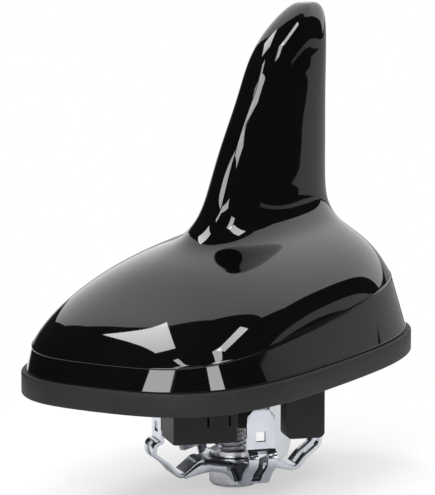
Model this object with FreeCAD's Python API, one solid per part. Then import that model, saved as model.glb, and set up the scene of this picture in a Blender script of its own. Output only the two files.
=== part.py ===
import FreeCAD, Part
import math
import os

os.makedirs("parts", exist_ok=True)
V = FreeCAD.Vector

# Shark-fin roof antenna, in millimetres.
# Front is -Y, up is +Z, the clamp bolt is the Z axis and the roof skin is z = 0.

# Base outline: superellipse about a widest station
base_front = 54.5
base_rear = 46.5
base_half = 29.1
base_wide_y = -8.1
base_power = 3.0

# Rubber gasket
rim_height = 4.6
rim_lip = 0.9
rim_wall = 2.5
seal_web = 1.6
seal_width = 5.1

# Cover skin
cover_wall = 2.2
cover_roof_drop = 1.2
crease_z = 13.35
crease_slope = 0.082
crease_set_front = 1.6
crease_set_rear = 4.1
crease_set_side = 2.6
crease_power = 3.5

# Dome rows: height, slope, set-backs from the crease (front, rear, side), widest station, powers
dome_rows = [
    (16.5, 0.075, 1.6, 1.5, 0.8, -6.0, 3.3, 2.8),
    (21.0, 0.060, 13.9, 4.2, 2.5, -2.0, 2.8, 2.6),
    (25.5, 0.045, 25.6, 8.0, 10.4, 4.0, 2.4, 2.5),
]

# Fin rows: height, slope, leading edge, trailing edge, half thickness, thickest station
fin_rows = [
    (28.2, 0.030, -12.7, 34.0, 8.8, 10.0),
    (30.0, 0.015, -11.8, 33.4, 8.0, 14.0),
    (34.0, 0.0, -8.4, 32.8, 7.2, 16.0),
    (44.0, 0.0, -3.5, 33.5, 6.5, 19.0),
    (55.0, 0.0, 5.4, 33.6, 5.8, 22.0),
    (66.0, 0.0, 11.2, 34.0, 5.6, 25.0),
    (72.4, 0.0, 26.0, 36.8, 2.6, 28.5),
    (72.4, 0.0, 28.6, 31.4, 1.1, 29.5),
]
fin_nose_power = 2.2
fin_tail_power = 2.6
cavity_top = (63.5, 0.0, 16.3, 33.4, 4.8, 25.0)
cavity_rows = 5
section_points = 32

# Base plate and cover screws
plate_gap = 0.2
cover_boss_r = 3.0
cover_boss_set_side = 9.3
cover_boss_set_front = 28.5
cover_boss_set_rear = 31.5
cover_screw_r = 1.45
cover_screw_hole_gap = 0.15
cover_screw_head_r = 2.6
cover_screw_head_h = 1.4
cover_screw_length = 11.0

# Hub under the plate: a square set on the diagonal, flat to flat
hub_half = 17.0
hub_depth = 12.3
boss_r = 6.5
boss_bottom = 11.8
block_length = 13.4
block_depth = 10.8
block_wall = 1.5
block_pocket_depth = 10.0
block_edge_r = 0.8
latch_slot_w = 0.5
latch_slot_h = 2.0
latch_slot_top = 6.9
latch_slot_a = 7.1
latch_slot_b = 11.6
post_start = 6.5
post_length = 8.0
post_depth = 4.6
post_corner_r = 1.2

# Clamp bolt with its thread insert
bolt_r = 3.0
bolt_head_r = 5.0
bolt_head_h = 5.2
bolt_tip = 5.0
bolt_chamfer = 0.6
bolt_socket_af = 5.0
bolt_socket_depth = 2.8
thread_gap = 0.05
insert_r = 4.5
insert_h = 6.0
press_gap = 0.02
bolt_room = 0.6

# Spring claw stamped from sheet
claw_sheet = 0.8
claw_turn = 4.0
claw_plate_top = 18.5
claw_half = 7.6
claw_skirt = 3.0
claw_corner = 8.6
claw_hole_gap = 0.2
claw_width = 6.0
claw_slot = 2.0
claw_window = 2.0
claw_window_z = 11.5
claw_tongue_r = 16.4
claw_tongue_top = 5.5
claw_tongue_cut = 1.8
claw_bead_r = 18.0
claw_bead_low = 17.0
claw_bead_high = 15.6
claw_neck_z = 14.0
claw_knee_r = 14.9
claw_knee_z = 19.2
claw_v_r = 12.4
claw_v_z = 22.3
claw_shoulder_r = 8.2
head_play = 0.1
ring_play = 0.2
ring_r = 4.8
ring_h = 1.0

# Sheet guide with two lugs
guide_sheet = 1.0
guide_half_x = 11.0
guide_front = 6.0
guide_rear = 12.0
guide_lug_w = 9.0
guide_lug_tip_w = 6.0
guide_lug_taper = 3.0
guide_lug_bottom = 18.3
guide_gap = 0.3
guide_screw_x = 7.6
guide_screw_y = 9.6
guide_screw_r = 1.0
guide_screw_head_r = 1.9
guide_screw_head_h = 1.2
guide_screw_length = 3.2
guide_screw_gap = 0.1

# Main board on standoffs
board_set_side = 13.1
board_set_front = 16.5
board_set_rear = 18.5
board_thick = 1.6
board_corner_r = 4.0
standoff_h = 2.0
standoff_r = 2.6
standoff_set = 3.2
board_screw_r = 1.0
board_screw_gap = 0.1
board_screw_head_r = 1.9
board_screw_head_h = 1.3
board_screw_length = 5.0

# Upright board in the fin and its radiator foil
fin_board_thick = 1.6
fin_board_foot_front = 2.0
fin_board_foot_rear = 27.0
fin_board_rear = 29.0
fin_board_waist_z = 30.0
fin_board_knee_y = 1.8
fin_board_knee_z = 42.0
fin_board_top_y = 19.5
fin_board_top_z = 60.5
foil_thick = 0.3
foil_margin = 2.0
foil_bottom_z = 20.0
foil_slit = 1.6
foil_slit_length = 17.0
foil_slit_low_z = 28.0
foil_slit_high_z = 36.0

# Patch aerial, shield can and chips
patch_side = 25.0
patch_h = 4.0
patch_y = -19.5
electrode_side = 20.0
electrode_h = 0.2
feed_r = 0.45
feed_gap = 0.06
feed_set = 2.5
feed_stub = 0.4
can_w = 11.0
can_l = 22.0
can_h = 3.4
can_wall = 0.3
can_x = 8.6
can_y = 8.0
chip_h = 1.2
chip_x = -8.4
chip_a = (-4.0, 7.0, 5.0)
chip_b = (6.0, 6.0, 6.0)
chip_c = (16.0, 4.0, 8.0)

# Coax jacks in the hub block
jack_gap = 0.1
carrier_h = 3.0
jack_pitch = 5.0
jack_r = 1.9
jack_bore_r = 1.5
jack_h = 2.7
jack_floor_h = 1.0
jack_pin_r = 0.4
jack_pin_h = 2.2

# Derived levels
plate_top = rim_height
cover_boss_x = base_half - cover_boss_set_side
cover_boss_front_y = -base_front + cover_boss_set_front
cover_boss_rear_y = base_rear - cover_boss_set_rear
board_half = base_half - board_set_side
board_front = base_front - board_set_front
board_rear = base_rear - board_set_rear
standoff_x = board_half - standoff_set
standoff_front_y = -board_front + standoff_set
standoff_rear_y = board_rear - standoff_set
feed_y = patch_y - feed_set
board_z = plate_top + standoff_h
board_top = board_z + board_thick
claw_plate_under = -claw_plate_top - claw_sheet
head_top = claw_plate_under - head_play
diagonal = 45.0


def superellipse(front_y, rear_y, half, wide_y, nose, tail, z, slope):
    """Points of a plan section on a plane that may lean along Y."""
    pts = []
    for i in range(section_points):
        t = 2 * math.pi * i / section_points
        c = math.cos(t)
        s = math.sin(t)
        power = nose if c > 0 else tail
        reach = wide_y - front_y if c > 0 else rear_y - wide_y
        y = wide_y - math.copysign(reach * abs(c) ** (2 / power), c)
        x = math.copysign(half * abs(s) ** (2 / power), s)
        pts.append(V(x, y, z + slope * y))
    return pts


def section(front_y, rear_y, half, wide_y, nose, tail, z, slope=0.0):
    """Closed smooth wire steered by a plan section."""
    pts = superellipse(front_y, rear_y, half, wide_y, nose, tail, z, slope)
    curve = Part.BSplineCurve()
    curve.buildFromPolesMultsKnots(pts, [1] * (section_points + 1),
                                   list(range(section_points + 1)), True, 3)
    return Part.Wire([curve.toShape()])


def base_row(inset, z):
    """Base outline moved inwards by inset."""
    return (-base_front + inset, base_rear - inset, base_half - inset,
            base_wide_y, base_power, base_power, z, 0.0)


def base_section(inset, z):
    return section(*base_row(inset, z))


def skin(rows, degree):
    """Smooth closed skin steered by rows of plan sections."""
    grid = [superellipse(*row) for row in rows]
    poles = [[grid[v][u] for v in range(len(rows))] for u in range(section_points)]
    spans = len(rows) - degree
    surface = Part.BSplineSurface()
    surface.buildFromPolesMultsKnots(
        poles,
        [1] * (section_points + 1), [degree + 1] + [1] * (spans - 1) + [degree + 1],
        list(range(section_points + 1)), list(range(spans + 1)),
        True, False, 3, degree)
    return surface.toShape()


def sewn(faces):
    shell = Part.Shell(faces)
    shell.sewShape()
    solid = Part.Solid(shell)
    if solid.Volume < 0:
        solid.reverse()
    return solid


def slab(inset, z, height):
    """Plate with the base outline."""
    wall = skin([base_row(inset, z), base_row(inset, z + height)], 1)
    floor = Part.Face(base_section(inset, z))
    roof = Part.Face(base_section(inset, z + height))
    return sewn([wall, floor, roof])


def cylinder(r, z0, z1, x=0.0, y=0.0):
    return Part.makeCylinder(r, z1 - z0, V(x, y, z0))


def box(x0, x1, y0, y1, z0, z1):
    return Part.makeBox(x1 - x0, y1 - y0, z1 - z0, V(x0, y0, z0))


def prism_x(profile, x0, x1):
    """Solid from a profile of (y, z) points, between two X stations."""
    wire = Part.makePolygon([V(x0, y, z) for y, z in profile + profile[:1]])
    return Part.Face(wire).extrude(V(x1 - x0, 0, 0))


def vertical_edges(shape):
    return [e for e in shape.Edges if abs(e.tangentAt(e.FirstParameter).z) > 0.999]


def on_diagonal(shape):
    turned = shape.copy()
    turned.rotate(V(0, 0, 0), V(0, 0, 1), diagonal)
    return turned


def export(name, shapes):
    shape = shapes[0] if len(shapes) == 1 else Part.makeCompound(shapes)
    shape.exportStep("parts/" + name + ".step")
    print(name, len(shape.Solids), round(shape.Volume, 1), shape.isValid())


# Cover


def crease_row(inset, drop):
    front = -base_front + rim_lip + crease_set_front + inset
    rear = base_rear - rim_lip - crease_set_rear - inset
    half = base_half - rim_lip - crease_set_side - inset
    return (front, rear, half, base_wide_y, crease_power, base_power, crease_z - drop, crease_slope)


def dome_row(row, inset, drop):
    z, slope, set_front, set_rear, set_side, wide, nose, tail = row
    front, rear, half = crease_row(inset, drop)[:3]
    return (front + set_front, rear - set_rear, half - set_side, wide, nose, tail, z - drop, slope)


def fin_row(row, inset, drop):
    z, slope, lead, trail, half, thick = row
    return (lead + inset, trail - inset, half - inset, thick,
            fin_nose_power, fin_tail_power, z - drop, slope)


def cover_faces(inset, drop, rows):
    """Flank up to the crease, one smooth skin over dome and fin, and the tip."""
    crease = crease_row(inset, drop)
    upper = [crease]
    upper += [dome_row(row, inset, drop) for row in dome_rows]
    upper += [fin_row(row, inset, drop) for row in rows]
    flank = skin([base_row(rim_lip + inset, rim_height), crease], 1)
    return [flank, skin(upper, 3), Part.Face(section(*upper[-1]))]


def cover_boss_places():
    return [(side * cover_boss_x, y) for side in (-1, 1)
            for y in (cover_boss_front_y, cover_boss_rear_y)]


def fin_cover():
    outer = cover_faces(0.0, 0.0, fin_rows)
    inner = cover_faces(cover_wall, cover_roof_drop, fin_rows[:cavity_rows] + [cavity_top])
    mouth = base_section(rim_lip, rim_height)
    rim = Part.makeFace([mouth, base_section(rim_lip + cover_wall, rim_height)],
                        "Part::FaceMakerBullseye")
    shell = sewn(outer + inner + [rim])
    full = sewn(outer + [Part.Face(mouth)])
    tall = crease_z * 2
    top = seal_web + cover_screw_length
    for x, y in cover_boss_places():
        boss = cylinder(cover_boss_r, plate_top, tall, x, y).common(full)
        shell = shell.fuse(boss)
    for x, y in cover_boss_places():
        shell = shell.cut(cylinder(cover_screw_r, plate_top, top, x, y))
    return shell


# Gasket and base plate


def base_gasket():
    ring = slab(0.0, 0.0, rim_height)
    ring = ring.cut(slab(rim_wall, seal_web, rim_height))
    return ring.cut(slab(seal_width, 0.0, rim_height))


def hub_block(grow=0.0):
    """Connector block at the front corner of the hub, in hub axes."""
    return box(-hub_half - grow, -hub_half + block_length + grow,
               -hub_half - grow, -hub_half + block_depth + grow, -hub_depth, seal_web)


def hub_post():
    post = box(post_start, post_start + post_length,
               -hub_half, -hub_half + post_depth, -hub_depth, seal_web)
    edges = [e for e in post.Edges
             if e.BoundBox.ZMax < -hub_depth + 0.01 and e.BoundBox.YLength > 1]
    return post.makeFillet(post_corner_r, edges)


def block_pocket():
    x0 = -hub_half + block_wall
    x1 = -hub_half + block_length - block_wall
    y0 = -hub_half + block_wall
    y1 = -hub_half + block_depth - block_wall
    return x0, x1, y0, y1, -hub_depth, -hub_depth + block_pocket_depth


def latch_slot(along):
    x = -hub_half + along
    return box(x - latch_slot_w / 2, x + latch_slot_w / 2, -hub_half, -hub_half + block_wall,
               -latch_slot_top - latch_slot_h, -latch_slot_top)


def base_plate():
    plate = slab(rim_wall + plate_gap, seal_web, rim_height - seal_web)
    block = hub_block()
    block = block.makeFillet(block_edge_r, vertical_edges(block))
    block = block.cut(box(*block_pocket()))
    block = block.cut(latch_slot(latch_slot_a))
    block = block.cut(latch_slot(latch_slot_b))
    post = hub_post()
    twin = post.copy()
    twin.rotate(V(0, 0, 0), V(0, 0, 1), 180)
    boss = cylinder(boss_r, -boss_bottom, seal_web)
    hub = boss.cut(on_diagonal(box(*block_pocket())))
    body = plate.fuse([on_diagonal(block), on_diagonal(post), on_diagonal(twin), hub])
    body = body.cut(cylinder(bolt_r + claw_hole_gap, -boss_bottom, bolt_room))
    body = body.cut(cylinder(insert_r + press_gap, -boss_bottom, -boss_bottom + insert_h))
    for x, y in standoff_places():
        body = body.fuse(cylinder(standoff_r, plate_top, board_z, x, y))
        foot = board_top - board_screw_length
        body = body.cut(cylinder(board_screw_r, foot, board_z, x, y))
    for x, y in cover_boss_places():
        body = body.cut(cylinder(cover_screw_r + cover_screw_hole_gap, seal_web, plate_top, x, y))
    for x, y in guide_screw_places():
        top = seal_web - guide_sheet + guide_screw_length
        body = body.cut(cylinder(guide_screw_r, seal_web, top, x, y))
    return body.removeSplitter()


# Fasteners


def screw_down(r, head_r, head_h, length, x, y, z):
    """Screw with its head above the seat at z and its shank below."""
    shank = cylinder(r, z - length, z, x, y)
    return shank.fuse(cylinder(head_r, z, z + head_h, x, y))


def screw_up(r, head_r, head_h, length, x, y, z):
    """Screw with its head below the seat at z and its shank above."""
    shank = cylinder(r, z, z + length, x, y)
    return shank.fuse(cylinder(head_r, z - head_h, z, x, y))


def cover_screws():
    return [screw_up(cover_screw_r, cover_screw_head_r, cover_screw_head_h,
                     cover_screw_length, x, y, seal_web) for x, y in cover_boss_places()]


def standoff_places():
    return [(side * standoff_x, y) for side in (-1, 1)
            for y in (standoff_front_y, standoff_rear_y)]


def board_screws():
    return [screw_down(board_screw_r, board_screw_head_r, board_screw_head_h,
                       board_screw_length, x, y, board_top) for x, y in standoff_places()]


def guide_screw_places():
    return [(side * guide_screw_x, guide_screw_y) for side in (-1, 1)]


def guide_screws():
    return [screw_up(guide_screw_r, guide_screw_head_r, guide_screw_head_h,
                     guide_screw_length, x, y, seal_web - guide_sheet)
            for x, y in guide_screw_places()]


# Clamp


def guide_lug(side):
    """Lug that hangs from the guide plate, narrowing to its tip."""
    top = seal_web
    tip = -guide_lug_bottom
    wide = guide_lug_w / 2
    slim = guide_lug_tip_w / 2
    profile = [(-wide, top), (wide, top), (wide, tip + guide_lug_taper),
               (slim, tip), (-slim, tip), (-wide, tip + guide_lug_taper)]
    inner = side * (guide_half_x - guide_sheet)
    return prism_x(profile, inner, side * guide_half_x)


def claw_guide():
    sheet = box(-guide_half_x, guide_half_x, -guide_front, guide_rear,
                seal_web - guide_sheet, seal_web)
    sheet = sheet.fuse([guide_lug(-1), guide_lug(1)])
    sheet = sheet.cut(cylinder(boss_r + guide_gap, -boss_bottom, seal_web))
    sheet = sheet.cut(on_diagonal(hub_block(guide_gap)))
    for x, y in guide_screw_places():
        hole = guide_screw_r + guide_screw_gap
        sheet = sheet.cut(cylinder(hole, seal_web - guide_sheet, seal_web, x, y))
    return sheet.removeSplitter()


def bend(p0, p1, p2, r):
    """Tangent points, centre and side of a rounded bend at p1."""
    d1 = (p1 - p0).normalize()
    d2 = (p2 - p1).normalize()
    turn = d1.x * d2.z - d1.z * d2.x
    side = 1 if turn > 0 else -1
    reach = r * math.tan(d1.getAngle(d2) / 2)
    a = p1 - d1 * reach
    b = p1 + d2 * reach
    centre = a + V(-d1.z, 0, d1.x) * (side * r)
    return a, b, centre, side, d1, d2


def left(d):
    return V(-d.z, 0, d.x)


def ribbon_side(points, radii, offset):
    """Edges of one face of a bent strip, at an offset from its centre line."""
    first = (points[1] - points[0]).normalize()
    last = (points[-1] - points[-2]).normalize()
    here = points[0] + left(first) * offset
    edges = []
    for i, r in enumerate(radii):
        a, b, centre, side, d1, d2 = bend(points[i], points[i + 1], points[i + 2], r)
        start = a + left(d1) * offset
        stop = b + left(d2) * offset
        out = (points[i + 1] - centre).normalize()
        middle = centre + out * (r - side * offset)
        edges.append(Part.LineSegment(here, start).toShape())
        edges.append(Part.Arc(start, middle, stop).toShape())
        here = stop
    end = points[-1] + left(last) * offset
    edges.append(Part.LineSegment(here, end).toShape())
    return edges, points[0] + left(first) * offset, end


def ribbon(points, radii, thick, width):
    """Bent sheet strip from a centre line in the XZ plane."""
    one, one_start, one_end = ribbon_side(points, radii, thick / 2)
    two, two_start, two_end = ribbon_side(points, radii, -thick / 2)
    ends = [Part.LineSegment(one_start, two_start).toShape(),
            Part.LineSegment(one_end, two_end).toShape()]
    wire = Part.Wire(Part.__sortEdges__(one + two + ends))
    strip = Part.Face(wire).extrude(V(0, width, 0))
    strip.translate(V(0, -width / 2, 0))
    return strip


def claw_arm():
    """Arm with its V fold, split bead and notched tongue, along +X."""
    plate_z = -claw_plate_top - claw_sheet / 2
    path = [V(claw_half / 2, 0, plate_z), V(claw_shoulder_r, 0, plate_z),
            V(claw_v_r, 0, -claw_v_z), V(claw_knee_r, 0, -claw_knee_z),
            V(claw_bead_r, 0, -claw_bead_low), V(claw_bead_r, 0, -claw_bead_high),
            V(claw_tongue_r, 0, -claw_neck_z), V(claw_tongue_r, 0, -claw_tongue_top)]
    arm = ribbon(path, [0.9, 0.9, 1.2, 0.6, 0.6, 0.6], claw_sheet, claw_width)
    far = claw_bead_r + claw_sheet
    arm = arm.cut(box(claw_knee_r - claw_sheet, far, -claw_slot / 2, claw_slot / 2,
                      -claw_knee_z - claw_sheet, -claw_bead_high))
    arm = arm.cut(box(claw_tongue_r - claw_sheet, far, -claw_window / 2, claw_window / 2,
                      -claw_window_z - claw_window / 2, -claw_window_z + claw_window / 2))
    for side in (-1, 1):
        edge = side * claw_width / 2
        notch = prism_x([(edge, -claw_tongue_top), (edge - side * claw_tongue_cut, -claw_tongue_top),
                         (edge, -claw_tongue_top - claw_tongue_cut)],
                        claw_tongue_r - claw_sheet, far)
        arm = arm.cut(notch)
    return arm


def claw_pan():
    """Square centre plate with a skirt on each side and open corners."""
    h = claw_half
    low = -claw_plate_top - claw_skirt
    pan = box(-h, h, -h, h, low, -claw_plate_top)
    t = claw_sheet
    pan = pan.cut(box(-h + t, h - t, -h + t, h - t, low, claw_plate_under))
    corner = claw_corner
    limit = box(-corner, corner, -corner, corner, low, -claw_plate_top)
    return pan.common(on_diagonal(limit))


def clamp_claw():
    arms = []
    for k in range(4):
        arm = claw_arm()
        arm.rotate(V(0, 0, 0), V(0, 0, 1), diagonal + 90 * k)
        arms.append(arm)
    claw = claw_pan().fuse(arms)
    claw = claw.cut(cylinder(bolt_r + claw_hole_gap, claw_plate_under, -claw_plate_top))
    claw.rotate(V(0, 0, 0), V(0, 0, 1), claw_turn)
    return claw.removeSplitter()


def clamp_bolt():
    head_under = head_top - bolt_head_h
    shank = cylinder(bolt_r, head_top, -bolt_tip)
    tip = [e for e in shank.Edges if e.BoundBox.ZMin > -bolt_tip - 0.01]
    shank = shank.makeChamfer(bolt_chamfer, tip)
    head = cylinder(bolt_head_r, head_under, head_top)
    rim = [e for e in head.Edges if e.BoundBox.ZMax < head_under + 0.01]
    head = head.makeChamfer(bolt_chamfer, rim)
    across = bolt_socket_af / math.sqrt(3)
    corners = [V(across * math.cos(math.radians(60 * k)),
                 across * math.sin(math.radians(60 * k)), head_under) for k in range(7)]
    socket = Part.Face(Part.makePolygon(corners)).extrude(V(0, 0, bolt_socket_depth))
    return shank.fuse(head.cut(socket))


def bolt_retainer():
    low = -claw_plate_top + ring_play
    ring = cylinder(ring_r, low, low + ring_h)
    return ring.cut(cylinder(bolt_r + press_gap, low, low + ring_h))


def thread_insert():
    body = cylinder(insert_r, -boss_bottom, -boss_bottom + insert_h)
    return body.cut(cylinder(bolt_r + thread_gap, -boss_bottom, -boss_bottom + insert_h))


# Boards and aerials


def main_board():
    board = box(-board_half, board_half, -board_front, board_rear, board_z, board_top)
    board = board.makeFillet(board_corner_r, vertical_edges(board))
    for x, y in standoff_places():
        board = board.cut(cylinder(board_screw_r + board_screw_gap, board_z, board_top, x, y))
    return board.cut(cylinder(feed_r + feed_gap, board_z, board_top, 0, feed_y))


def fin_board():
    profile = [(fin_board_foot_front, board_top), (fin_board_foot_rear, board_top),
               (fin_board_rear, fin_board_waist_z), (fin_board_rear, fin_board_top_z),
               (fin_board_top_y, fin_board_top_z), (fin_board_knee_y, fin_board_knee_z)]
    return prism_x(profile, -fin_board_thick / 2, fin_board_thick / 2)


def fin_radiator():
    """Foil on the upright board, slit from both edges into a meander."""
    m = foil_margin
    front = fin_board_knee_y + m
    rear = fin_board_rear - m
    top = fin_board_top_z - m
    profile = [(front, foil_bottom_z), (rear, foil_bottom_z), (rear, top),
               (fin_board_top_y + m, top), (front, fin_board_knee_z)]
    x0 = fin_board_thick / 2
    foil = prism_x(profile, x0, x0 + foil_thick)
    foil = foil.cut(box(x0, x0 + foil_thick, front, front + foil_slit_length,
                        foil_slit_low_z, foil_slit_low_z + foil_slit))
    return foil.cut(box(x0, x0 + foil_thick, rear - foil_slit_length, rear,
                        foil_slit_high_z, foil_slit_high_z + foil_slit))


def feed_hole(z0, z1):
    return cylinder(feed_r + feed_gap, z0, z1, 0, feed_y)


def gps_patch():
    h = patch_side / 2
    slab_box = box(-h, h, patch_y - h, patch_y + h, board_top, board_top + patch_h)
    return slab_box.cut(feed_hole(board_top, board_top + patch_h))


def patch_electrode():
    h = electrode_side / 2
    z = board_top + patch_h
    plate = box(-h, h, patch_y - h, patch_y + h, z, z + electrode_h)
    return plate.cut(feed_hole(z, z + electrode_h))


def patch_feed_pin():
    return cylinder(feed_r, board_z - feed_stub, board_top + patch_h + electrode_h + feed_stub, 0, feed_y)


def shield_can():
    x0 = can_x - can_w / 2
    y0 = can_y - can_l / 2
    t = can_wall
    can = box(x0, x0 + can_w, y0, y0 + can_l, board_top, board_top + can_h)
    return can.cut(box(x0 + t, x0 + can_w - t, y0 + t, y0 + can_l - t,
                       board_top, board_top + can_h - t))


def board_chips():
    chips = []
    for y, w, l in (chip_a, chip_b, chip_c):
        chips.append(box(chip_x - w / 2, chip_x + w / 2, y - l / 2, y + l / 2,
                         board_top, board_top + chip_h))
    return chips


# Coax jacks


def jack_places():
    x0, x1, y0, y1, z0, z1 = block_pocket()
    mid_x = (x0 + x1) / 2
    mid_y = (y0 + y1) / 2
    return [(mid_x - jack_pitch / 2, mid_y), (mid_x + jack_pitch / 2, mid_y)]


def jack_carrier():
    x0, x1, y0, y1, z0, z1 = block_pocket()
    g = jack_gap
    carrier = box(x0 + g, x1 - g, y0 + g, y1 - g, z1 - carrier_h, z1)
    for x, y in jack_places():
        carrier = carrier.cut(cylinder(jack_pin_r + press_gap, z1 - carrier_h, z1, x, y))
    return on_diagonal(carrier)


def jack_face():
    return -hub_depth + block_pocket_depth - carrier_h


def jack_shells():
    z = jack_face()
    tubes = []
    for x, y in jack_places():
        tube = cylinder(jack_r, z - jack_h, z, x, y)
        tubes.append(on_diagonal(tube.cut(cylinder(jack_bore_r, z - jack_h, z, x, y))))
    return tubes


def jack_insulators():
    z = jack_face()
    discs = []
    for x, y in jack_places():
        disc = cylinder(jack_bore_r - press_gap, z - jack_floor_h, z, x, y)
        discs.append(on_diagonal(disc.cut(cylinder(jack_pin_r + press_gap, z - jack_floor_h, z, x, y))))
    return discs


def jack_pins():
    z = jack_face()
    return [on_diagonal(cylinder(jack_pin_r, z - jack_pin_h, z + carrier_h, x, y))
            for x, y in jack_places()]


export("fin_cover", [fin_cover()])
export("base_gasket", [base_gasket()])
export("base_plate", [base_plate()])
export("cover_screws", cover_screws())
export("claw_guide", [claw_guide()])
export("guide_screws", guide_screws())
export("clamp_claw", [clamp_claw()])
export("clamp_bolt", [clamp_bolt()])
export("bolt_retainer", [bolt_retainer()])
export("thread_insert", [thread_insert()])
export("main_board", [main_board()])
export("board_screws", board_screws())
export("fin_board", [fin_board()])
export("fin_radiator", [fin_radiator()])
export("gps_patch", [gps_patch()])
export("patch_electrode", [patch_electrode()])
export("patch_feed_pin", [patch_feed_pin()])
export("shield_can", [shield_can()])
export("board_chips", board_chips())
export("jack_carrier", [jack_carrier()])
export("jack_shells", jack_shells())
export("jack_insulators", jack_insulators())
export("jack_pins", jack_pins())
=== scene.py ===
# %% [markdown]
# A shark-fin roof antenna
# A gloss black cover with an upright fin stands on a rubber-edged base. Under it
# one bolt draws up a spring claw that holds it in a roof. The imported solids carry
# the sizes, the clamp and its motion. Here each piece gets the surface that the
# real one has. Lengths are written in millimetres and scaled to Blender's metres.

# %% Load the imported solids
import math
import bpy
import bmesh
import numpy as np
from mathutils import Matrix, Vector


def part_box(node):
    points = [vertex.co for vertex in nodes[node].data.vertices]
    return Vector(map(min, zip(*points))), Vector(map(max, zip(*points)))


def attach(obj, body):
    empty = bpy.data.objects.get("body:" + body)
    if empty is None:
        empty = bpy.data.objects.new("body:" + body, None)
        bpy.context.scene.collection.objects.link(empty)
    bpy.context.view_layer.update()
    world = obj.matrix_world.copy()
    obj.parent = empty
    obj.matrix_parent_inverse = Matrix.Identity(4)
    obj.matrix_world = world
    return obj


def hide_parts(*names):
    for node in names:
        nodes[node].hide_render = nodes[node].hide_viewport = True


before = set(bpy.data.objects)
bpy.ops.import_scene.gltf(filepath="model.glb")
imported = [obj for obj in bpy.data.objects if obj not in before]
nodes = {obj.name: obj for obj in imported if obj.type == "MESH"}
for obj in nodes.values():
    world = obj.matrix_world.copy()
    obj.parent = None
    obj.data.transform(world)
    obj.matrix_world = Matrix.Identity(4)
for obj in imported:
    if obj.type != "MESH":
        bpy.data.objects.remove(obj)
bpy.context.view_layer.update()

MM = 0.001

# %% [markdown]
# Camera
# The photograph looks down about nine degrees from the front quarter with a long
# lens, so the base's two sides stay almost parallel. A camera in Blender looks
# along its own -Z, so it is stood upright first, then pitched and turned.

# %% Place the camera
IMAGE_W, IMAGE_H = 435, 495
FOCAL_PX = 3825.0
SENSOR_MM = 36.0
NEAR_CLIP = 0.01
YAW, PITCH = math.radians(30.0), math.radians(9.3)
EYE = Vector((383.0, -670.0, 151.0)) * MM

scene = bpy.context.scene
scene.view_settings.view_transform = "Standard"
cam_data = bpy.data.cameras.new("photo_camera")
cam_data.sensor_width = SENSOR_MM
cam_data.lens = FOCAL_PX / max(IMAGE_W, IMAGE_H) * SENSOR_MM
cam_data.clip_start = NEAR_CLIP
camera = bpy.data.objects.new("photo_camera", cam_data)
camera.location = EYE
camera.rotation_euler = (math.pi / 2 - PITCH, 0.0, YAW)
scene.collection.objects.link(camera)
scene.camera = camera
print("lens", round(cam_data.lens, 1), "mm at", round(EYE.length, 3), "m")

# %% [markdown]
# Shader tools
# No real surface is one flat tone. A painted picture could vary it, but it would
# need its own layout for each piece. Noise in the object's own space needs none,
# so small functions add the noise nodes, and a finish reads as one line.

# %% Functions that add shader nodes
RAMP_ENDS = (0.3, 0.7)
GRAIN_DEPTH = 0.0001


def node(tree, kind, **sockets):
    """Add a node and set its inputs by name, with _ for a space."""
    added = tree.nodes.new(kind)
    for key, value in sockets.items():
        added.inputs[key.replace("_", " ")].default_value = value
    return added


def object_noise(tree, scale, detail, stretch):
    """Noise that is fixed to the object, stretched along its axes."""
    coords = node(tree, "ShaderNodeTexCoord")
    mapping = node(tree, "ShaderNodeMapping", Scale=stretch)
    noise = node(tree, "ShaderNodeTexNoise", Scale=scale, Detail=detail)
    tree.links.new(coords.outputs["Object"], mapping.inputs["Vector"])
    tree.links.new(mapping.outputs["Vector"], noise.inputs["Vector"])
    return noise.outputs["Fac"]


def two_tones(tree, source, tones):
    """A colour that wanders between two tones."""
    added = node(tree, "ShaderNodeValToRGB")
    for stop, place, tone in zip(added.color_ramp.elements, RAMP_ENDS, tones):
        stop.position = place
        stop.color = (*tone, 1)
    tree.links.new(source, added.inputs["Fac"])
    return added.outputs["Color"]


def spread(tree, source, low, high):
    """The noise mapped to a range, such as that of a roughness."""
    added = node(tree, "ShaderNodeMapRange", To_Min=low, To_Max=high)
    tree.links.new(source, added.inputs["Value"])
    return added.outputs["Result"]


def bump(tree, shader, source, strength):
    """Fine grain, as a bump of the shader's normal."""
    added = node(tree, "ShaderNodeBump", Strength=strength, Distance=GRAIN_DEPTH)
    tree.links.new(source, added.inputs["Height"])
    tree.links.new(added.outputs["Normal"], shader.inputs["Normal"])


print("noise functions ready")

# %% One function for every finish
BROAD_DETAIL, FINE_DETAIL = 3.0, 2.0
PLASTIC_IOR = 1.5
EVEN = (1, 1, 1)


def finish_surface(name, tones, rough, scale, metallic=0.0, grain=0.0,
                   grain_scale=900.0, stretch=EVEN, specular=0.5):
    """Colour and roughness wander with one noise, and a finer one makes the grain."""
    mat = bpy.data.materials.new(name)
    mat.use_nodes = True
    tree = mat.node_tree
    shader = tree.nodes["Principled BSDF"]
    shader.inputs["Metallic"].default_value = metallic
    shader.inputs["IOR"].default_value = PLASTIC_IOR
    shader.inputs["Specular IOR Level"].default_value = specular
    broad = object_noise(tree, scale, BROAD_DETAIL, stretch)
    tree.links.new(two_tones(tree, broad, tones), shader.inputs["Base Color"])
    tree.links.new(spread(tree, broad, *rough), shader.inputs["Roughness"])
    if grain:
        bump(tree, shader, object_noise(tree, grain_scale, FINE_DETAIL, stretch), grain)
    return mat


print("finishes take two tones and a range of roughness")

# %% [markdown]
# Black finishes
# The cover is moulded and polished to a piano black, almost a mirror. Gasket and
# base are matt rubber and plastic with a fine grain from the mould. All three are
# nearly the same colour, so it is their roughness that tells them apart.

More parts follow.
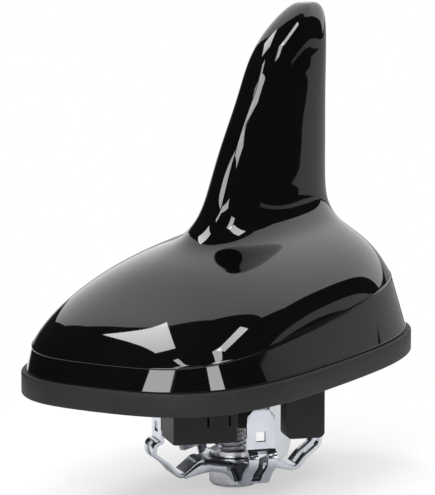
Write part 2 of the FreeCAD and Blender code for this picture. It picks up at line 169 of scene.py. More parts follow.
# %% Make the black finishes
gloss = finish_surface("cover_gloss", ((0.0012, 0.0012, 0.0013), (0.0022, 0.0022, 0.0024)),
                       (0.02, 0.035), 60.0)
rubber = finish_surface("gasket_rubber", ((0.013, 0.013, 0.0135), (0.018, 0.018, 0.0185)),
                        (0.5, 0.65), 120.0, grain=0.3, grain_scale=2600.0, specular=0.16)
plastic = finish_surface("base_plastic", ((0.014, 0.014, 0.015), (0.020, 0.020, 0.021)),
                         (0.42, 0.55), 150.0, grain=0.3, grain_scale=3200.0, specular=0.2)
print("black finishes", gloss.name, rubber.name, plastic.name)

# %% [markdown]
# Metal finishes
# The clamp is steel with a bright zinc coat, which keeps the marks of tumbling.
# Sheet and bolt are rolled and turned, so their grain is stretched one way. A
# metal shows its colour only in what it mirrors, so all of these are metallic.

# %% Make the metal finishes
zinc = finish_surface("zinc_spring", ((0.46, 0.48, 0.53), (0.55, 0.57, 0.62)),
                      (0.16, 0.26), 300.0, metallic=1.0, grain=0.12, grain_scale=1200.0)
zinc_flat = finish_surface("zinc_sheet", ((0.52, 0.54, 0.57), (0.60, 0.62, 0.65)),
                           (0.28, 0.4), 200.0, metallic=1.0, grain=0.1, grain_scale=1500.0,
                           stretch=(1, 6, 1))
steel = finish_surface("bolt_steel", ((0.66, 0.67, 0.70), (0.76, 0.77, 0.80)),
                       (0.2, 0.34), 260.0, metallic=1.0, grain=0.15, grain_scale=1400.0,
                       stretch=(1, 1, 8))
brass = finish_surface("insert_brass", ((0.70, 0.52, 0.22), (0.80, 0.62, 0.30)),
                       (0.25, 0.4), 300.0, metallic=1.0)
gold = finish_surface("contact_gold", ((0.83, 0.60, 0.22), (0.90, 0.68, 0.30)),
                      (0.15, 0.25), 300.0, metallic=1.0)
copper = finish_surface("copper_foil", ((0.72, 0.36, 0.22), (0.82, 0.46, 0.30)),
                        (0.25, 0.4), 120.0, metallic=1.0)
tin = finish_surface("tinned_can", ((0.62, 0.63, 0.63), (0.72, 0.73, 0.73)),
                     (0.28, 0.42), 160.0, metallic=1.0)
silver = finish_surface("electrode_silver", ((0.78, 0.78, 0.77), (0.88, 0.88, 0.87)),
                        (0.35, 0.5), 200.0, metallic=1.0)
print("metals", zinc.name, zinc_flat.name, steel.name, brass.name)

# %% [markdown]
# Finishes inside the cover
# The circuit boards are green laminate with dark chips, and a fired ceramic tile
# listens to the satellites. They are seen only when the cover is off, so one plain
# finish each is enough.

# %% Make the inner finishes
laminate = finish_surface("board_laminate", ((0.02, 0.13, 0.05), (0.035, 0.18, 0.07)),
                          (0.3, 0.42), 220.0)
ceramic = finish_surface("patch_ceramic", ((0.58, 0.54, 0.46), (0.66, 0.62, 0.54)),
                         (0.55, 0.7), 240.0, grain=0.1)
epoxy = finish_surface("chip_epoxy", ((0.02, 0.02, 0.021), (0.03, 0.03, 0.031)),
                       (0.5, 0.62), 300.0, grain=0.1)
carrier = finish_surface("carrier_plastic", ((0.04, 0.04, 0.044), (0.055, 0.055, 0.06)),
                         (0.45, 0.55), 240.0, grain=0.1)
white = finish_surface("jack_white", ((0.78, 0.78, 0.75), (0.84, 0.84, 0.82)),
                       (0.4, 0.5), 240.0)
print("inner finishes", laminate.name, ceramic.name, epoxy.name, carrier.name, white.name)

# %% [markdown]
# Dress the solids
# Most pieces are finished as they come from the pack: only their material
# changes. A table from piece to finish shows at a glance that none is left out.

# %% Give every solid its finish
by_node = {
    "fin_cover": gloss, "base_gasket": rubber, "base_plate": plastic,
    "cover_screws": steel, "claw_guide": zinc_flat, "guide_screws": steel,
    "clamp_claw": zinc, "clamp_bolt": steel, "bolt_retainer": steel,
    "thread_insert": brass, "main_board": laminate, "board_screws": steel,
    "fin_board": laminate, "fin_radiator": copper, "gps_patch": ceramic,
    "patch_electrode": silver, "patch_feed_pin": gold, "shield_can": tin,
    "board_chips": epoxy, "jack_carrier": carrier, "jack_shells": gold,
    "jack_insulators": white, "jack_pins": gold,
}
for name, obj in nodes.items():
    obj.data.materials.clear()
    obj.data.materials.append(by_node[name])
print("materials", len(set(by_node.values())))

# %% [markdown]
# Plan sections
# Seen from above, every outline of this antenna is a rounded box: a superellipse
# with its own nose and tail. The solids are steered by rows of such points too.
# A closed cubic curve runs along each row, so the skin lies on its solid.

# %% Outlines and the curve round each
POLES = 32
PER_SPAN = 8
COLS = POLES * PER_SPAN


def section(front, rear, half, wide, nose, tail, z, slope=0.0):
    """Poles of a rounded box that is widest at wide, at a height that may slope."""
    t = np.arange(POLES) * 2 * np.pi / POLES
    c, s = np.cos(t), np.sin(t)
    power = np.where(c > 0, nose, tail)
    reach = np.where(c > 0, wide - front, rear - wide)
    y = wide - np.sign(c) * reach * np.abs(c) ** (2 / power)
    x = half * np.sign(s) * np.abs(s) ** (2 / power)
    return np.stack([x, y, z + slope * y], axis=1)


def around(row):
    """Points on the closed cubic curve that a row of poles steers."""
    out = []
    nexts = [np.roll(row, 1 - k, axis=0) for k in range(4)]
    for k in range(PER_SPAN):
        u = k / PER_SPAN
        w = ((1 - u) ** 3 / 6, (3 * u ** 3 - 6 * u ** 2 + 4) / 6,
             (-3 * u ** 3 + 3 * u ** 2 + 3 * u + 1) / 6, u ** 3 / 6)
        out.append(sum(wi * ni for wi, ni in zip(w, nexts)))
    return np.stack(out, axis=1).reshape(-1, 3)


print("outlines of", POLES, "poles, drawn with", COLS, "points")

# %% [markdown]
# Skin
# A smooth skin over the rows is a clamped cubic spline: it starts on the first
# row, ends on the last and is pulled towards those between. Blender's own
# subdivision would round the crease away, so the weights are worked out here.

# %% The spline over the rows
DEGREE = 3
END_GAP = 1e-9


def blend_weight(i, degree, t, knots):
    """Weight of pole i on a clamped spline."""
    if degree == 0:
        return np.where((t >= knots[i]) & (t < knots[i + 1]), 1.0, 0.0)
    total = np.zeros_like(t)
    a = knots[i + degree] - knots[i]
    b = knots[i + degree + 1] - knots[i + 1]
    if a > 0:
        total = total + (t - knots[i]) / a * blend_weight(i, degree - 1, t, knots)
    if b > 0:
        total = total + (knots[i + degree + 1] - t) / b * blend_weight(i + 1, degree - 1, t, knots)
    return total


def skin_rows(rows, t):
    """Rows of poles at the places t along the spline."""
    spans = len(rows) - DEGREE
    knots = ([0.0] * (DEGREE + 1) + [float(k) for k in range(1, spans)]
             + [float(spans)] * (DEGREE + 1))
    t = np.minimum(np.asarray(t, float), spans - END_GAP)
    weights = np.stack([blend_weight(i, DEGREE, t, knots) for i in range(len(rows))], axis=1)
    return np.tensordot(weights, np.stack(rows), axes=(1, 0))


print("spline of degree", DEGREE)

# %% [markdown]
# Rows of the cover
# The real cover is one injection-moulded shell: a short flank up to a crease that
# climbs to the rear, a dome above it, and the fin growing out of the dome without
# a seam. One list of rows from crease to tip makes it one surface.

# %% List the rows of the dome and the fin
WIDEST_Y = -8.1
CREASE_FRONT, CREASE_REAR, CREASE_HALF = -52.0, 41.5, 25.6
CREASE_NOSE, CREASE_TAIL = 3.5, 3.0
CREASE_Z, CREASE_SLOPE = 13.35, 0.082
# Height, slope, what front, rear and side draw in, widest place, nose, tail
DOME = ((16.5, 0.075, 1.6, 1.5, 0.8, -6.0, 3.3, 2.8),
        (21.0, 0.060, 13.9, 4.2, 2.5, -2.0, 2.8, 2.6),
        (25.5, 0.045, 25.6, 8.0, 10.4, 4.0, 2.4, 2.5))
# Height, slope, leading edge, trailing edge, half width, widest place
FIN = ((27.0, 0.030, -17.0, 34.4, 10.8, 10.0), (30.0, 0.015, -12.2, 33.4, 8.3, 14.0),
       (34.0, 0.0, -8.4, 32.8, 7.2, 16.0), (44.0, 0.0, -3.5, 33.5, 6.5, 19.0),
       (55.0, 0.0, 5.4, 33.6, 5.8, 22.0), (66.0, 0.0, 11.2, 34.0, 5.6, 25.0),
       (72.4, 0.0, 26.0, 36.8, 2.6, 28.5), (72.4, 0.0, 28.6, 31.4, 1.1, 29.5))
FIN_NOSE, FIN_TAIL = 2.2, 2.6

rows = [section(CREASE_FRONT, CREASE_REAR, CREASE_HALF, WIDEST_Y, CREASE_NOSE, CREASE_TAIL,
                CREASE_Z, CREASE_SLOPE)]
for z, slope, front_in, rear_in, side_in, wide, nose, tail in DOME:
    rows.append(section(CREASE_FRONT + front_in, CREASE_REAR - rear_in, CREASE_HALF - side_in,
                        wide, nose, tail, z, slope))
for z, slope, lead, trail, half, wide in FIN:
    rows.append(section(lead, trail, half, wide, FIN_NOSE, FIN_TAIL, z, slope))
print("rows", len(rows))

# %% [markdown]
# From points to a piece
# A mesh is a list of points and a list of faces that name them by number. A piece
# also rides on one body of the mechanism, so that it moves with it, and its faces
# have to look outwards. One function does this for every piece below.

# %% Functions that make a piece from points
def piece(name, verts, faces, body, mat):
    """A smooth mesh with its faces turned outwards, riding on a body."""
    mesh = bpy.data.meshes.new(name)
    mesh.from_pydata([tuple(v) for v in verts], [], faces)
    mesh.update()
    obj = bpy.data.objects.new(name, mesh)
    scene.collection.objects.link(obj)
    bm = bmesh.new()
    bm.from_mesh(mesh)
    bmesh.ops.recalc_face_normals(bm, faces=bm.faces)
    bm.to_mesh(mesh)
    bm.free()
    for poly in mesh.polygons:
        poly.use_smooth = True
    mesh.materials.append(mat)
    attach(obj, body)
    return obj


def tube_faces(count, cols):
    """Quads of a tube of rows, each closed round on itself."""
    return [(r * cols + c, r * cols + (c + 1) % cols,
             (r + 1) * cols + (c + 1) % cols, (r + 1) * cols + c)
            for r in range(count - 1) for c in range(cols)]


print("a piece takes points, faces, a body and a finish")

# %% [markdown]
# Cover
# On the real cover the crease is a sharp edge that catches a thin line of light.
# Rows close together hold it sharp, and its own row stands out a hair to break
# the edge as a mould does. Under the flank the foot turns in over the gasket.

# %% Build the skin of the cover
RIM_H, RIM_LIP = 4.6, 0.9
BASE_FRONT, BASE_REAR, BASE_HALF = -54.5, 46.5, 29.1
BASE_POWER = 3.0
FOOT_WIDTH = 2.2
CREASE_EDGE = 0.12
NEAR_CREASE = [0.0, 0.012, 0.04]
SKIN_START, SKIN_ROWS = 0.08, 120
UP_FLANK = (0.02, 0.06, 0.2, 0.4, 0.6, 0.8, 0.94, 0.975)


def base_row(inset, z):
    """The outline of the base, drawn in by an inset."""
    return section(BASE_FRONT + inset, BASE_REAR - inset, BASE_HALF - inset, WIDEST_Y,
                   BASE_POWER, BASE_POWER, z)


steps = np.concatenate([NEAR_CREASE, np.linspace(SKIN_START, len(rows) - DEGREE, SKIN_ROWS)])
upper = skin_rows(rows, steps)
outward = upper[0] - upper[0].mean(axis=0)
outward[:, 2] = 0.0
upper[0] += CREASE_EDGE * outward / np.linalg.norm(outward, axis=1, keepdims=True)
foot = base_row(RIM_LIP, RIM_H)
inner = base_row(RIM_LIP + FOOT_WIDTH, RIM_H)
bottom = [inner, inner + (foot - inner) * 0.5, inner + (foot - inner) * 0.9]
flank = [foot + (rows[0] - foot) * k for k in UP_FLANK]
grid = [around(row) for row in bottom + flank + list(upper)]
verts = np.concatenate(grid) * MM
faces = tube_faces(len(grid), COLS)
tip = len(verts)
verts = np.vstack([verts, verts[-COLS:].mean(axis=0)])
faces += [(tip - COLS + c, tip - COLS + (c + 1) % COLS, tip) for c in range(COLS)]
cover = piece("cover_skin", verts, faces, "base", gloss)
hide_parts("fin_cover")
print("cover", len(verts), "points",
      np.round(verts.min(0) / MM, 1), np.round(verts.max(0) / MM, 1))

# %% [markdown]
# Gasket
# The rubber is moulded round the edge of the base: a band whose corners are
# broken by the mould, with the sealing face underneath. One closed profile is
# carried round the base's outline, which keeps the band even all the way.

# %% Build the rubber band
BAND_EDGE = 0.45
BAND_IN, SEAL_IN, SEAL_H = 2.5, 5.1, 1.6
UNDER_COVER = RIM_LIP + 0.4
GASKET_SPLIT = math.radians(35)

quarter = np.linspace(0, math.pi / 2, 5)
arc = [(BAND_EDGE - BAND_EDGE * math.cos(a), BAND_EDGE - BAND_EDGE * math.sin(a)) for a in quarter]
profile = [(i, RIM_H - z) for i, z in arc]
profile += [(UNDER_COVER, RIM_H), (BAND_IN, RIM_H), (BAND_IN, SEAL_H), (SEAL_IN, SEAL_H),
            (SEAL_IN, 0.0)]
profile += reversed(arc)
verts = np.concatenate([around(base_row(i, z)) for i, z in profile]) * MM
faces = tube_faces(len(profile), COLS)
last = (len(profile) - 1) * COLS
faces += [(last + c, last + (c + 1) % COLS, (c + 1) % COLS, c) for c in range(COLS)]
gasket = piece("gasket_band", verts, faces, "base", rubber)
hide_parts("base_gasket")
gasket.modifiers.new("edges", "EDGE_SPLIT").split_angle = GASKET_SPLIT
print("gasket", len(verts), "points")

# %% [markdown]
# Bends of the claw
# A press bends the claw from one steel sheet. It could be drawn as a solid, but a
# sheet is easier: the line down its middle is bent first, and a modifier gives it
# its thickness later. Every corner of that line gets the radius of its bend.

# %% A line with rounded bends
LEAST_CUTS, CUT_ANGLE = 4, 0.1


def bent_path(points, radii):
    """Points along a strip's middle line with its bends rounded."""
    pts = [Vector(p) for p in points]
    out = [pts[0]]
    for before, corner, after, radius in zip(pts, pts[1:], pts[2:], radii):
        d1 = (corner - before).normalized()
        d2 = (after - corner).normalized()
        angle = d1.angle(d2)
        reach = radius * math.tan(angle / 2)
        start = corner - d1 * reach
        stop = corner + d2 * reach
        centre = corner + (d2 - d1).normalized() * (radius / math.cos(angle / 2))
        count = max(LEAST_CUTS, int(angle / CUT_ANGLE))
        for k in range(count + 1):
            t = k / count
            swing = ((start - centre) * math.sin((1 - t) * angle)
                     + (stop - centre) * math.sin(t * angle))
            out.append(centre + swing / math.sin(angle))
    return out + [pts[-1]]


def sheet_faces(count, cols):
    """Quads of an open sheet of rows."""
    return [(r * cols + c, r * cols + c + 1, (r + 1) * cols + c + 1, (r + 1) * cols + c)
            for r in range(count - 1) for c in range(cols - 1)]


print("bends are cut every", CUT_ANGLE, "radians")

# %% [markdown]
# Arm of the claw
# Each arm runs down into a V, out to a split bead that snaps past the roof's
# edge, and up into a windowed tongue. Slot and window are middle quads left out,
# which needs no boolean and keeps the mesh even.

# %% One arm of the claw
SHEET = 0.8
PLATE_Z = -18.5 - SHEET / 2
ROOT_Z = PLATE_Z - 0.02
ARM_CORNERS = ((7.3, ROOT_Z), (8.2, ROOT_Z), (12.4, -22.3), (14.9, -19.4), (18.0, -17.1),
               (18.0, -14.8), (16.4, -14.35), (16.4, -12.5))
ARM_BENDS = (1.5, 1.5, 4.0, 1.8, 1.6, 0.45)
TONGUE_R, TONGUE_Z = 16.4, (-10.5, -8.9, -7.3, -6.4, -5.5)
ARM_HALF, TAPER_Z = 3.0, -7.3
ACROSS = (-3.0, -2.0, -1.0, 1.0, 2.0, 3.0)
MIDDLE = 2
SLOT_R, SLOT_TOP = 13.3, -14.7
WINDOW_R, WINDOW_LOW, WINDOW_TOP = 16, -12.5, -10.5


def arm_sheet():
    """Middle surface of one arm along +X, without its slot and window."""
    path = bent_path(ARM_CORNERS, ARM_BENDS) + [Vector((TONGUE_R, z)) for z in TONGUE_Z]
    points = []
    for r, z in path:
        half = min(ARM_HALF, ARM_HALF - (z - TAPER_Z))
        points += [(r, math.copysign(min(abs(w), half), w), z) for w in ACROSS]
    cols = len(ACROSS)
    quads = []
    for quad in sheet_faces(len(path), cols):
        row, place = divmod(quad[0], cols)
        r, z = (path[row] + path[row + 1]) / 2
        slot = r > SLOT_R and z < SLOT_TOP
        window = WINDOW_LOW < z < WINDOW_TOP and r > WINDOW_R
        if not (place == MIDDLE and (slot or window)):
            quads.append(quad)
    return points, quads


print("arm", len(arm_sheet()[0]), "points")

# %% [markdown]
# Centre plate of the claw
# The plate between the arms has a hole for the bolt and a skirt turned down on
# each side, which stiffens it. The skirt's lower edge is arched. One quarter is
# drawn and turned four times, so all the sides are alike.

# %% A quarter of the centre plate
HOLE_R = 3.2
PLATE_EDGE, PLATE_CORNER = 6.4, 6.08
SKIRT_HALF, SKIRT_LOW, SKIRT_ARCH = 4.56, -21.5, 0.7
SKIRT_BEND = 0.8
HALFWAY = 0.8
ACROSS_PLATE = 3


def plate_side():
    """A quarter of the centre plate with its skirt, towards +X."""
    side = [(PLATE_EDGE, y) for y in np.linspace(-SKIRT_HALF, SKIRT_HALF, 9)]
    outer = [(PLATE_CORNER, -PLATE_CORNER)] + side + [(PLATE_CORNER, PLATE_CORNER)]
    points = []
    for x, y in outer:
        length = math.hypot(x, y)
        points += [(HOLE_R * x / length, HOLE_R * y / length, PLATE_Z),
                   (x * HALFWAY, y * HALFWAY, PLATE_Z), (x, y, PLATE_Z)]
    quads = sheet_faces(len(outer), ACROSS_PLATE)
    drop = [(PLATE_EDGE + SKIRT_BEND * math.sin(a), PLATE_Z - SKIRT_BEND + SKIRT_BEND * math.cos(a))
            for a in np.linspace(0.3, math.pi / 2, 5)]
    first = len(points)
    for _, y in side:
        low = SKIRT_LOW + SKIRT_ARCH * (1 - (y / SKIRT_HALF) ** 2)
        points += [(dx, y, dz) for dx, dz in drop] + [(PLATE_EDGE + SKIRT_BEND, y, low)]
    down = len(drop) + 1
    for k in range(len(side) - 1):
        top = ACROSS_PLATE * (k + 1) + ACROSS_PLATE - 1
        here = [top] + [first + k * down + i for i in range(down)]
        there = [top + ACROSS_PLATE] + [first + (k + 1) * down + i for i in range(down)]
        quads += [(here[i], here[i + 1], there[i + 1], there[i]) for i in range(down)]
    return points, quads


print("quarter plate", len(plate_side()[0]), "points")

# %% [markdown]
# Flanges of the claw
# In the photograph the skirt runs on along the edges of the arms and narrows
# towards their V folds, which makes an arch between two arms. It is a thin strip
# that bends from the skirt's side into the arm's direction.

# %% One flange
FLANGE_START, FLANGE_END = 1.5, 5.9
FLANGE_CUTS, FLANGE_ROWS = 14, 4
SKIRT_X = PLATE_EDGE + SKIRT_BEND
TURN_Y, TURN_SOFT = 2.4, 0.5
SLOPE_R, SLOPE = 8.6, 0.7
FLANGE_TOP = PLATE_Z - 0.5
FLANGE_LOW, FLANGE_DROP = -20.9, 1.25


def flange(side, end):
    """The strip from the skirt along an arm's edge towards its V fold."""
    points = []
    for y in np.linspace(FLANGE_START, end, FLANGE_CUTS):
        x = 0.5 * (2 * SKIRT_X - TURN_Y + y + math.hypot(y - TURN_Y, TURN_SOFT))
        r = (x + y) * math.sqrt(0.5)
        top = FLANGE_TOP - max(0.0, r - SLOPE_R) * SLOPE
        low = FLANGE_LOW - FLANGE_DROP * (y / FLANGE_END) ** 2
        points += [(x, side * y, top + (low - top) * k / (FLANGE_ROWS - 1))
                   for k in range(FLANGE_ROWS)]
    return points, sheet_faces(FLANGE_CUTS, FLANGE_ROWS)


print("flange", len(flange(1, FLANGE_END)[0]), "points")

# %% [markdown]
# The whole claw
# Arms, plate and flanges are turned four times round the bolt and joined where
# their points meet. Beside the guide's lugs one flange is shorter, so that it
# stays clear when the claw is drawn up. A modifier gives the sheet its thickness,
# and a bevel rounds the edges as tumbling does.

# %% Join the claw and thicken it
ARM_TURN, PLATE_TURN = 49.0, 4.0
END_BY_LUG = 3.6
JOIN_GAP = 0.00001
TUMBLED_EDGE = 0.26
TUMBLED_ANGLE = math.radians(50)


def turned(points, degrees):
    """Points turned about the bolt."""
    a = math.radians(degrees)
    return [(x * math.cos(a) - y * math.sin(a), x * math.sin(a) + y * math.cos(a), z)
            for x, y, z in points]


verts, faces = [], []
for k in range(4):
    near_end = END_BY_LUG if k % 2 == 0 else FLANGE_END
    for (points, quads), offset in ((arm_sheet(), ARM_TURN), (plate_side(), PLATE_TURN),
                                    (flange(1, FLANGE_END), PLATE_TURN),
                                    (flange(-1, near_end), PLATE_TURN)):
        faces += [tuple(i + len(verts) for i in quad) for quad in quads]
        verts += turned(points, offset + 90 * k)
claw = piece("claw_sheet", np.array(verts) * MM, faces, "claw", zinc)
bm = bmesh.new()
bm.from_mesh(claw.data)
bmesh.ops.remove_doubles(bm, verts=bm.verts, dist=JOIN_GAP)
bmesh.ops.recalc_face_normals(bm, faces=bm.faces)
bm.to_mesh(claw.data)
bm.free()
thick = claw.modifiers.new("sheet", "SOLIDIFY")
thick.thickness = SHEET * MM
thick.offset = 0.0
thick.use_even_offset = True
rounded = claw.modifiers.new("tumbled", "BEVEL")
rounded.width = TUMBLED_EDGE * MM
rounded.segments = 3
rounded.limit_method = "ANGLE"
rounded.angle_limit = TUMBLED_ANGLE
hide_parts("clamp_claw")
print("claw", len(verts), "points")

# %% [markdown]
# Head of the bolt
# A standard M6 machine bolt has a round head, forged with a hexagon socket for
# the key. Rings of points from the socket's floor outwards make it, and a hexagon
# is only a ring whose radius changes with the angle.

# %% Rings of the head
ROUND = 96
CENTRE = 0.02
HEAD_TOP, HEAD_LOW, HEAD_R = -19.4, -24.6, 5.0
SOCKET_HALF, SOCKET_DEEP = 2.5, 2.8
SHANK_R = 2.98
turn = np.arange(ROUND) * 2 * np.pi / ROUND


def ring(radius, z):
    """A ring of points, with one radius or one for each point."""
    radius = radius * np.ones(ROUND)
    return np.stack([radius * np.cos(turn), radius * np.sin(turn), z * np.ones(ROUND)], axis=1)


def lathe_faces(rings):
    """Quads between the rings, and a cap at each end."""
    count = len(rings) * ROUND
    return tube_faces(len(rings), ROUND) + [tuple(range(ROUND)), tuple(range(count - ROUND, count))]


hexagon = SOCKET_HALF / np.cos((turn + np.pi / 6) % (np.pi / 3) - np.pi / 6)
socket_floor = HEAD_LOW + SOCKET_DEEP
# The socket, from its floor to its chamfered mouth
head = [ring(CENTRE, socket_floor), ring(hexagon * 0.98, socket_floor)]
head += [ring(hexagon, socket_floor - 0.1), ring(hexagon, HEAD_LOW + 0.15)]
head += [ring(hexagon + 0.12, HEAD_LOW)]
# The end face, its rounded edge and the side
head += [ring(4.3, HEAD_LOW), ring(4.42, HEAD_LOW + 0.02), ring(4.97, HEAD_LOW + 0.56)]
head += [ring(HEAD_R, HEAD_LOW + 0.68)]
head += [ring(HEAD_R, z) for z in np.linspace(HEAD_LOW + 0.8, HEAD_TOP - 0.2, 4)]
# The broken upper edge, the bearing face and the neck
head += [ring(4.95, HEAD_TOP - 0.05), ring(4.85, HEAD_TOP), ring(3.1, HEAD_TOP)]
head += [ring(SHANK_R, HEAD_TOP + 0.1)]
print("head", len(head), "rings")

# %% [markdown]
# Thread of the bolt
# The thread is rolled, so its flanks shine. Each ring up the shank is drawn in by
# a depth that depends on height less angle, and that makes a true helix. It fades
# in under the head and is cut to a chamfer at the tip.

# %% Rings of the thread, and the bolt
BOLT_TIP = -5.0
PITCH_MM, THREAD_DEEP = 1.0, 0.6
THREAD_START, THREAD_FADE, THREAD_CUT = HEAD_TOP + 0.3, 0.8, 0.1
CREST, FLAT = 1.25, 0.12
TIP_R, CHAMFER_R = 2.3, 2.4
METAL_SPLIT = math.radians(38)

shank = []
for z in np.arange(THREAD_START, BOLT_TIP - 0.05, THREAD_CUT):
    phase = (z - turn / (2 * np.pi)) % PITCH_MM
    depth = THREAD_DEEP * np.clip(CREST * (1 - np.abs(2 * phase - 1)) - FLAT, 0, 1)
    fade = np.clip((z - THREAD_START) / THREAD_FADE, 0, 1)
    shank.append(ring(np.minimum(SHANK_R - depth * fade, CHAMFER_R + (BOLT_TIP - z)), z))
rings = head + shank + [ring(TIP_R, BOLT_TIP), ring(CENTRE, BOLT_TIP)]
verts = np.concatenate(rings) * MM
bolt = piece("bolt_threaded", verts, lathe_faces(rings), "bolt", steel)
bolt.modifiers.new("edges", "EDGE_SPLIT").split_angle = METAL_SPLIT
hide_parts("clamp_bolt")
print("bolt", len(verts), "points")

# %% [markdown]
# Cover screws
# Four pan-head screws come up through the base into the cover's bosses. Their
# heads are pressed with a cross for the driver. All of a cross can be seen from
# its middle, so it is a ring whose radius changes with the angle, like the socket.

# %% Build the screws with their cross recess
PAN_R, PAN_H, SCREW_R = 2.6, 1.4, 1.45
CROSS_ARM, CROSS_DEEP = 1.5, 0.9
CROSS_SLIM = CROSS_ARM * math.tan(math.radians(15))
NOT_ZERO = 1e-9

box_low, box_high = (np.array(v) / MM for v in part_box("cover_screws"))
c, s = np.abs(np.cos(turn)) + NOT_ZERO, np.abs(np.sin(turn)) + NOT_ZERO
cross = np.maximum(np.minimum(CROSS_ARM / c, CROSS_SLIM / s),
                   np.minimum(CROSS_SLIM / c, CROSS_ARM / s))
z = box_low[2]
# The cross, from its floor to its mouth, narrower below as the driver's point is
rings = [ring(CENTRE, z + CROSS_DEEP), ring(cross * 0.8, z + CROSS_DEEP)]
rings += [ring(cross * 0.96, z + 0.06), ring(cross + 0.05, z)]
# The pan head with its round edge, and the shank
rings += [ring(PAN_R - 0.5, z), ring(PAN_R - 0.22, z + 0.07), ring(PAN_R - 0.06, z + 0.25)]
rings += [ring(PAN_R, z + 0.5), ring(PAN_R, z + PAN_H), ring(SCREW_R, z + PAN_H)]
rings += [ring(SCREW_R, box_high[2]), ring(CENTRE, box_high[2])]
one = np.concatenate(rings)
places = [(x, y) for x in (box_low[0] + PAN_R, box_high[0] - PAN_R)
          for y in (box_low[1] + PAN_R, box_high[1] - PAN_R)]
verts = np.concatenate([one + np.array([x, y, 0.0]) for x, y in places]) * MM
faces = [tuple(i + k * len(one) for i in face)
         for k in range(len(places)) for face in lathe_faces(rings)]
screws = piece("cover_screw_set", verts, faces, "base", steel)
screws.modifiers.new("edges", "EDGE_SPLIT").split_angle = METAL_SPLIT
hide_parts("cover_screws")
print("screws", len(places), "of", len(one), "points")

# %% [markdown]
# Edges of the stamped and moulded pieces
# Real sheet and mouldings have no knife edges: a press or a mould leaves each one
# a little round, and it catches the light. A bevel modifier does this on the
# solids as they are, so their own meshes stay untouched.

# %% Bevel the carried-over solids
EDGE_ANGLE = math.radians(40.0)
EDGE_WIDTHS = {"claw_guide": 0.12, "base_plate": 0.25, "bolt_retainer": 0.1}

for name, width in EDGE_WIDTHS.items():
    soft = nodes[name].modifiers.new("edge", "BEVEL")
    soft.width = width * MM
    soft.segments = 2
    soft.limit_method = "ANGLE"
    soft.angle_limit = EDGE_ANGLE
print("softened", *EDGE_WIDTHS)

# %% [markdown]
# Studio
# Product photographers light gloss black by what it mirrors, not by brightness.
# So the studio is a set of lit cards and softboxes, each put where the cover
# mirrors a bright shape of the photograph, in a room that is dark elsewhere.

# %% Directions and stage pieces
RIGHT = Vector((math.cos(YAW), math.sin(YAW), 0.0))
AWAY = Vector((-math.sin(YAW), math.cos(YAW), 0.0))
UP = Vector((0.0, 0.0, 1.0))
PLAIN_WHITE = (1, 1, 1, 1)


def studio_point(right, away, up):
    """Metres to the right of the object, away from the camera, and up."""
    return RIGHT * right + AWAY * away + UP * up


def stage_mesh(name, verts, mat):
    """One flat face that belongs to the studio."""
    mesh = bpy.data.meshes.new(name)
    mesh.from_pydata([tuple(v) for v in verts], [], [tuple(range(len(verts)))])
    mesh.update()
    obj = bpy.data.objects.new(name, mesh)
    scene.collection.objects.link(obj)
    mesh.materials.append(mat)


def mixed(tree, share, first, second):
    """Two shaders mixed by a share of the second."""
    mix = node(tree, "ShaderNodeMixShader")
    tree.links.new(share, mix.inputs["Fac"])
    tree.links.new(first, mix.inputs[1])
    tree.links.new(second, mix.inputs[2])
    return mix.outputs["Shader"]


def product(tree, first, second):
    """Two values multiplied."""
    times = node(tree, "ShaderNodeMath")
    times.operation = "MULTIPLY"
    tree.links.new(first, times.inputs[0])
    tree.links.new(second, times.inputs[1])
    return times.outputs["Value"]


print("camera looks towards", [round(v, 2) for v in AWAY])

# %% [markdown]
# Floor
# The photograph's paper is so brightly lit that it has no edge and no shadow. A
# pale disc does the same: to the camera it fades into plain white with the
# distance. It is also clear from below, so that the clamp can be looked at.

# %% Lay the floor
FLOOR_Z, FLOOR_R = -0.0262, 0.27
FADE_NEAR, FADE_FAR, FADE_LEAST = 0.03, 0.11, 0.5
DISC_POINTS = 96

floor_mat = finish_surface("floor_white", ((0.84, 0.84, 0.84), (0.86, 0.86, 0.86)),
                           (0.9, 0.95), 20.0, specular=0.0)
tree = floor_mat.node_tree
coords = node(tree, "ShaderNodeTexCoord")
distance = node(tree, "ShaderNodeVectorMath")
distance.operation = "LENGTH"
tree.links.new(coords.outputs["Object"], distance.inputs[0])
fade = node(tree, "ShaderNodeMapRange", From_Min=FADE_NEAR, From_Max=FADE_FAR, To_Min=FADE_LEAST)
fade.interpolation_type = "SMOOTHSTEP"
tree.links.new(distance.outputs["Value"], fade.inputs["Value"])
to_camera = node(tree, "ShaderNodeLightPath").outputs["Is Camera Ray"]
from_below = node(tree, "ShaderNodeNewGeometry").outputs["Backfacing"]
paper = tree.nodes["Principled BSDF"].outputs["BSDF"]
plain = node(tree, "ShaderNodeEmission", Color=PLAIN_WHITE, Strength=1.0).outputs["Emission"]
clear = node(tree, "ShaderNodeBsdfTransparent").outputs["BSDF"]
faded = mixed(tree, product(tree, fade.outputs["Result"], to_camera), paper, plain)
seen = mixed(tree, product(tree, from_below, to_camera), faded, clear)
tree.links.new(seen, tree.nodes["Material Output"].inputs["Surface"])
angles = [k * 2 * math.pi / DISC_POINTS for k in range(DISC_POINTS)]
rim = [(FLOOR_R * math.cos(a), FLOOR_R * math.sin(a), FLOOR_Z) for a in angles]
stage_mesh("floor", rim, floor_mat)
print("floor radius", FLOOR_R, "m")

# %% [markdown]
# Sweep
# A white sheet behind the object shows as the grey on the dome and the fin, and
# its outline is the edge of that grey. A darker strip at its foot is the table.
# The camera looks through the cards, or they would hide the object from behind.

# %% Hang the sweep behind the object
SWEEP_AWAY, FOOT_AWAY = 1.0, 1.05
SWEEP_GLOW, GREY_GLOW = 1.25, 0.45
